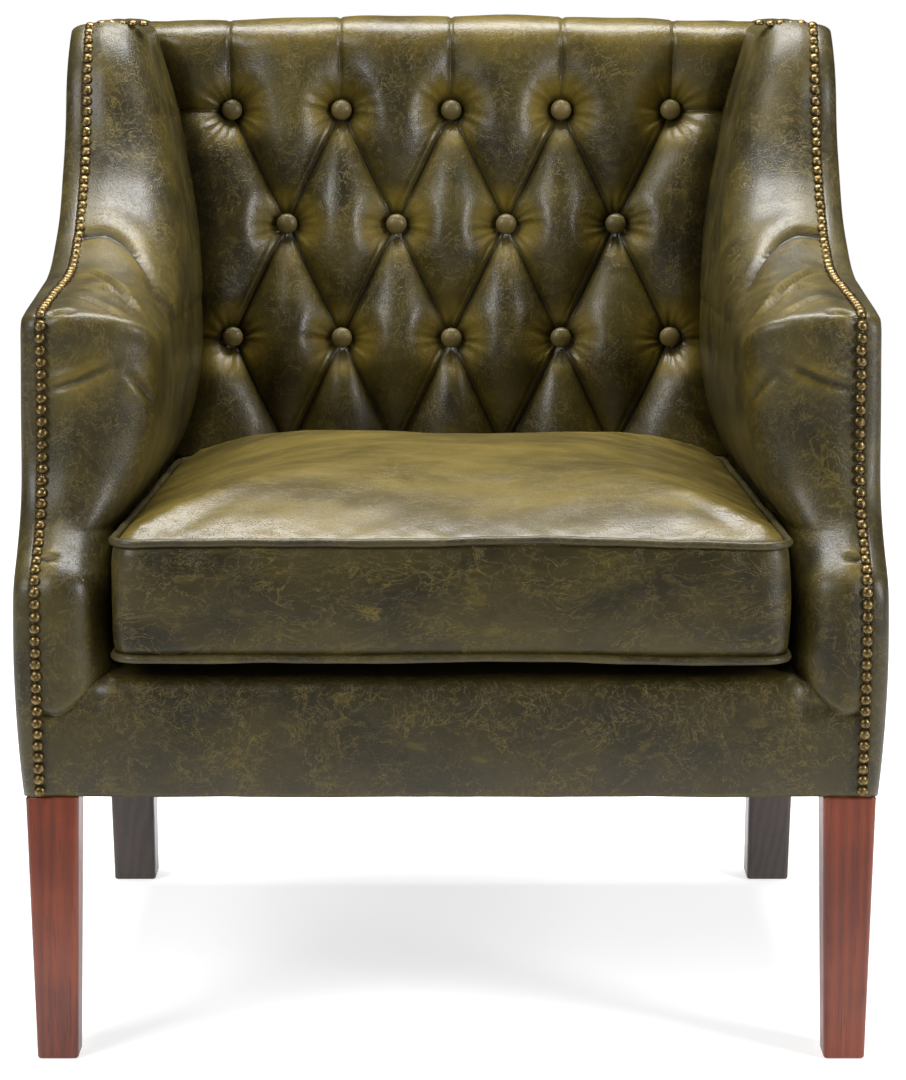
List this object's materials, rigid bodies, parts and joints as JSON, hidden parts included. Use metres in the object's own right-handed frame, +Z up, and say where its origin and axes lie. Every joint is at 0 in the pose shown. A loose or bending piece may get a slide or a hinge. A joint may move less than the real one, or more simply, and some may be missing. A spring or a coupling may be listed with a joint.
{
  "type": "upholstered armchair",
  "caption": "Leather armchair with low wings, deep-buttoned back, loose box cushion, nailed edges and square wooden legs.",
  "frame": {"origin": "centre of the chair's outline on the floor", "axes": "+Z up; the chair faces -Y; +X to the right as seen from the front"},
  "size_m": [0.732, 0.6917, 0.8731],
  "materials": {
    "olive_leather": "waxed, antiqued olive green with lighter creases",
    "shaded_leather": "waxed, antiqued olive green",
    "piping_leather": "waxed olive green over cord",
    "brass": "antiqued, polished on the domes",
    "mahogany": "red-brown stain under satin lacquer",
    "dark_wood": "near-black brown stain, satin",
    "beech": "bare sawn frame timber",
    "foam": "open foam",
    "webbing": "woven elastic webbing",
    "dust_cloth": "black non-woven cloth"
  },
  "bodies": {
    "chair": {"front_leg_left": "mahogany", "front_leg_right": "mahogany", "rear_leg_left": "dark_wood", "rear_leg_right": "dark_wood", "front_seat_rail": "beech", "rear_seat_rail": "beech", "side_seat_rail_left": "beech", "side_seat_rail_right": "beech", "arm_post_left": "beech", "arm_post_right": "beech", "arm_rail_left": "beech", "arm_rail_right": "beech", "wing_board_left": "beech", "wing_board_right": "beech", "back_post_left": "beech", "back_post_right": "beech", "back_top_rail": "beech", "back_lower_rail": "beech", "seat_webbing_1": "webbing", "seat_webbing_2": "webbing", "seat_webbing_3": "webbing", "seat_deck_pad": "foam", "arm_foam_left": "foam", "arm_foam_right": "foam", "wing_foam_left": "foam", "wing_foam_right": "foam", "back_foam": "foam", "front_border": "olive_leather", "arm_cover_left": "olive_leather", "arm_cover_right": "olive_leather", "wing_cover_left": "olive_leather", "wing_cover_right": "olive_leather", "inside_back_cover": "olive_leather", "outside_panel_left": "shaded_leather", "outside_panel_right": "shaded_leather", "outside_back_panel": "shaded_leather", "dust_cover": "dust_cloth", "button_lower_1": "olive_leather", "button_lower_2": "olive_leather", "button_lower_3": "olive_leather", "button_lower_4": "olive_leather", "button_lower_5": "olive_leather", "button_middle_1": "olive_leather", "button_middle_2": "olive_leather", "button_middle_3": "olive_leather", "button_middle_4": "olive_leather", "button_upper_1": "olive_leather", "button_upper_2": "olive_leather", "button_upper_3": "olive_leather", "button_upper_4": "olive_leather", "button_upper_5": "olive_leather", "nail_run_left": "brass", "nail_run_right": "brass"},
    "seat_cushion": {"cushion_foam": "foam", "cushion_top_panel": "olive_leather", "cushion_bottom_panel": "olive_leather", "cushion_boxing": "olive_leather", "cushion_piping_top": "piping_leather", "cushion_piping_bottom": "piping_leather"},
    "zip_slider": {"cushion_zip_slider": "brass"}
  },
  "joints": [
    {"name": "cushion_slide", "type": "slide", "parent": "chair", "child": "seat_cushion", "axis": [0, -1, 0], "range_m": [0, 0.56]},
    {"name": "zip_slide", "type": "slide", "parent": "seat_cushion", "child": "zip_slider", "axis": [-1, 0, 0], "range_m": [0, 0.41]}
  ]
}
